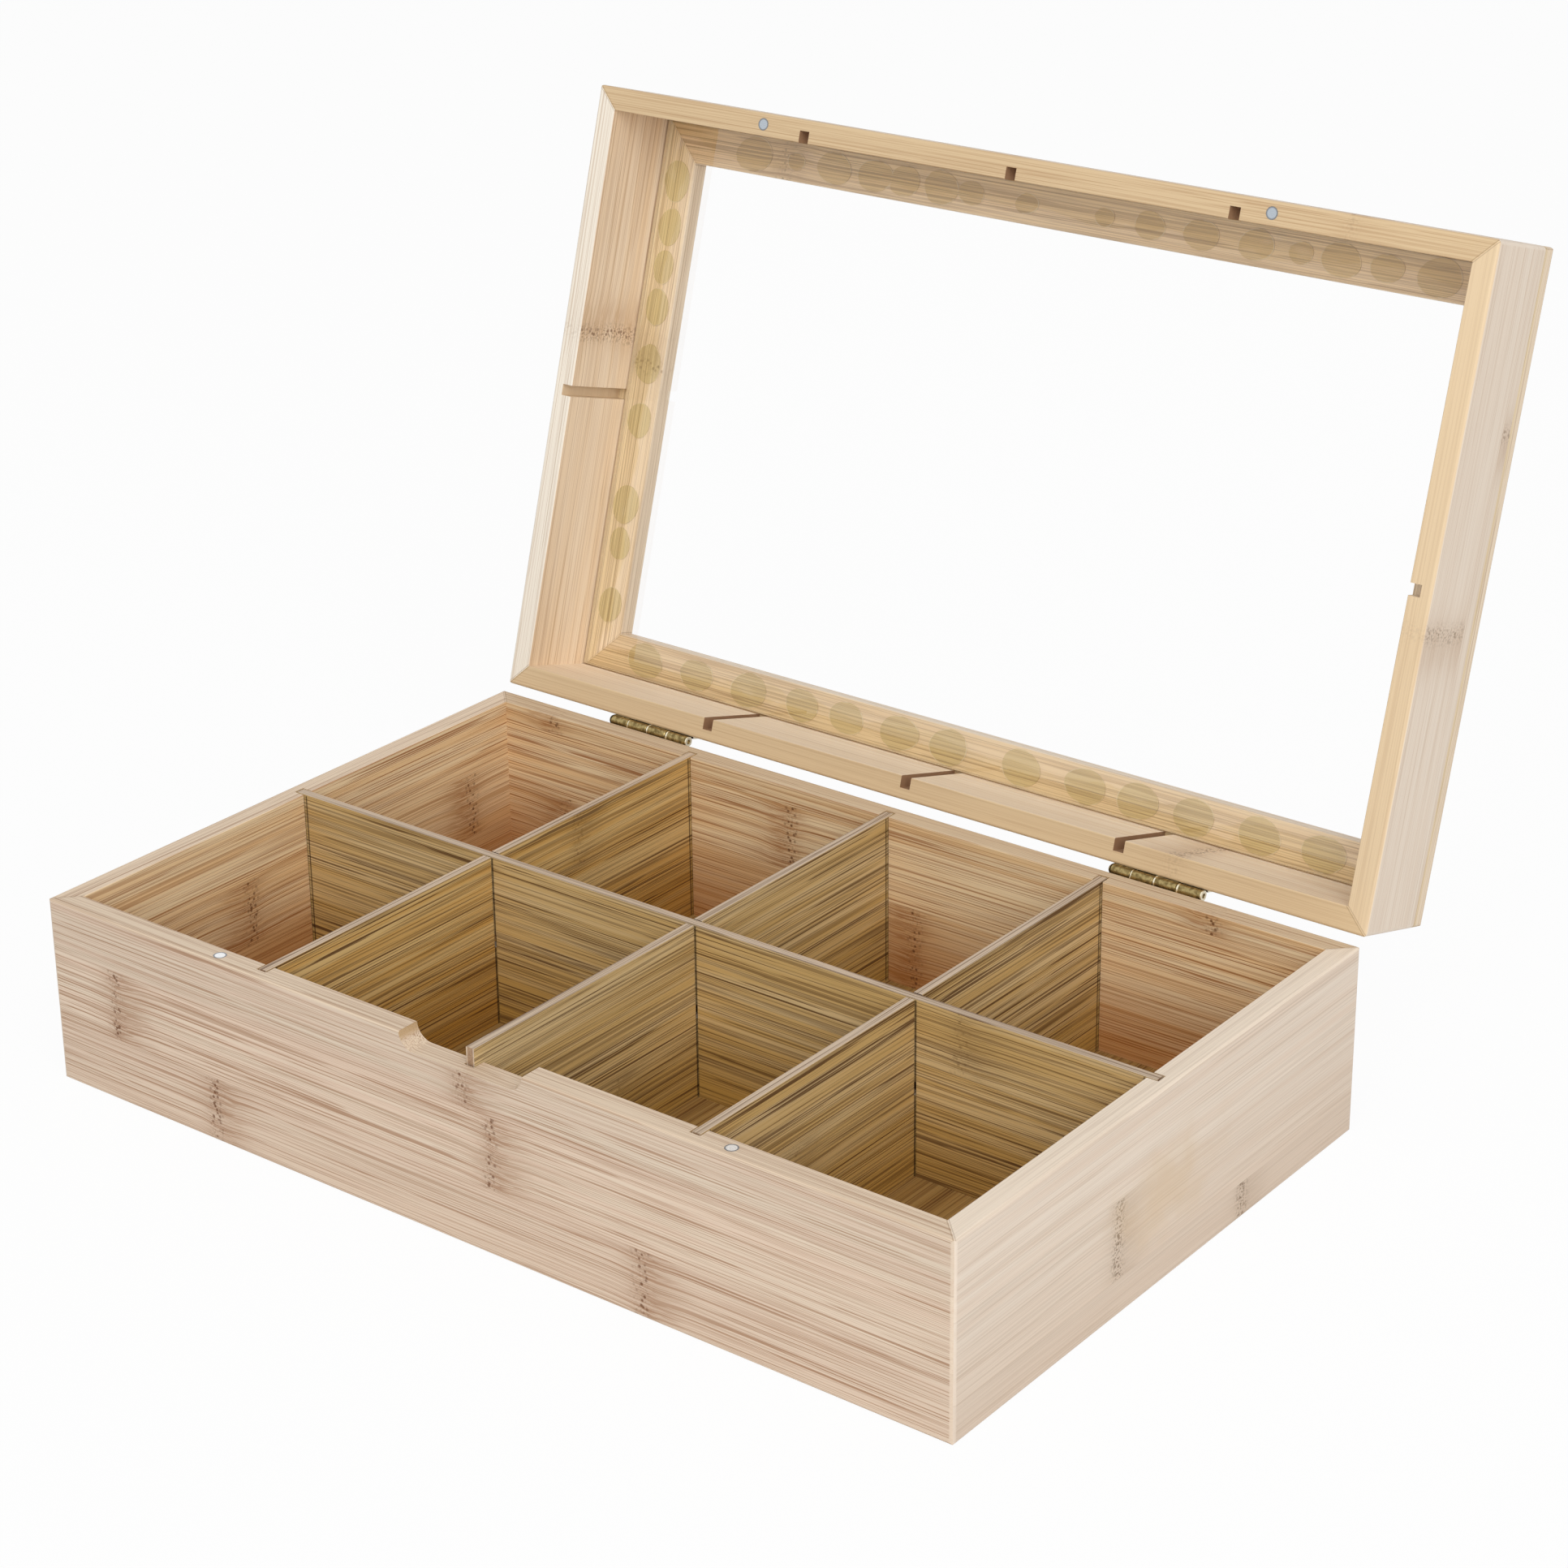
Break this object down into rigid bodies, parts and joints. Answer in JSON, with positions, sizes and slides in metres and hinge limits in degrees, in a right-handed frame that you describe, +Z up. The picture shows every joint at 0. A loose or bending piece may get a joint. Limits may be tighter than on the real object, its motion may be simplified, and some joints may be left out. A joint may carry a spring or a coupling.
{
  "type": "tea bag organizer box",
  "caption": "Bamboo tea bag organizer: rectangular box with a lift-out half-lapped divider grid, a finger notch and a hinged lid with a clear window, standing open.",
  "frame": {"origin": "centre of the underside of the base", "axes": "+X along the box to the right as seen from the front, +Y to the back (the hinge side), +Z up"},
  "size_m": [0.34, 0.3058, 0.2642],
  "materials": {
    "bamboo_walls": "planed and sanded natural bamboo board, thin matt lacquer",
    "bamboo_bottom": "sanded bamboo board",
    "bamboo_lid_rails": "planed and sanded natural bamboo board, thin matt lacquer",
    "bamboo_window_frame": "planed and sanded natural bamboo board, thin matt lacquer",
    "bamboo_ply": "three-ply bamboo veneer, sanded",
    "clear_panel": "clear acrylic sheet, polished",
    "dried_glue": "dried clear glue, squashed flat",
    "nickel_magnet": "bright nickel plating",
    "brassed_hinge": "brass-plated steel, aged bronze tone",
    "brassed_pin": "brass-plated steel",
    "brassed_screw": "brass-plated steel"
  },
  "bodies": {
    "base": {"front_wall": "bamboo_walls", "back_wall": "bamboo_walls", "left_wall": "bamboo_walls", "right_wall": "bamboo_walls", "bottom_panel": "bamboo_bottom", "left_base_magnet": "nickel_magnet", "right_base_magnet": "nickel_magnet", "left_hinge_base_leaf": "brassed_hinge", "right_hinge_base_leaf": "brassed_hinge", "left_hinge_pin": "brassed_pin", "right_hinge_pin": "brassed_pin", "base_hinge_screws": "brassed_screw"},
    "lid": {"lid_front_rail": "bamboo_lid_rails", "lid_back_rail": "bamboo_lid_rails", "lid_left_rail": "bamboo_lid_rails", "lid_right_rail": "bamboo_lid_rails", "window_frame_front": "bamboo_window_frame", "window_frame_back": "bamboo_window_frame", "window_frame_left": "bamboo_window_frame", "window_frame_right": "bamboo_window_frame", "window_panel": "clear_panel", "glue_dots": "dried_glue", "left_lid_magnet": "nickel_magnet", "right_lid_magnet": "nickel_magnet", "left_hinge_lid_leaf": "brassed_hinge", "right_hinge_lid_leaf": "brassed_hinge", "lid_hinge_screws": "brassed_screw"},
    "cross_grid": {"left_cross_divider": "bamboo_ply", "middle_cross_divider": "bamboo_ply", "right_cross_divider": "bamboo_ply"},
    "lengthwise_divider": {"long_divider": "bamboo_ply"}
  },
  "joints": [
    {"name": "lid_hinge", "type": "hinge", "parent": "base", "child": "lid", "pos_m": [0, 0.1063, 0.0622], "axis": [1, 0, 0], "range_deg": [0, 106.3]},
    {"name": "grid_lift", "type": "slide", "parent": "base", "child": "cross_grid", "axis": [0, 0, 1], "range_m": [0, 0.014]},
    {"name": "long_divider_lift", "type": "slide", "parent": "cross_grid", "child": "lengthwise_divider", "axis": [0, 0, 1], "range_m": [0, 0.014]}
  ]
}
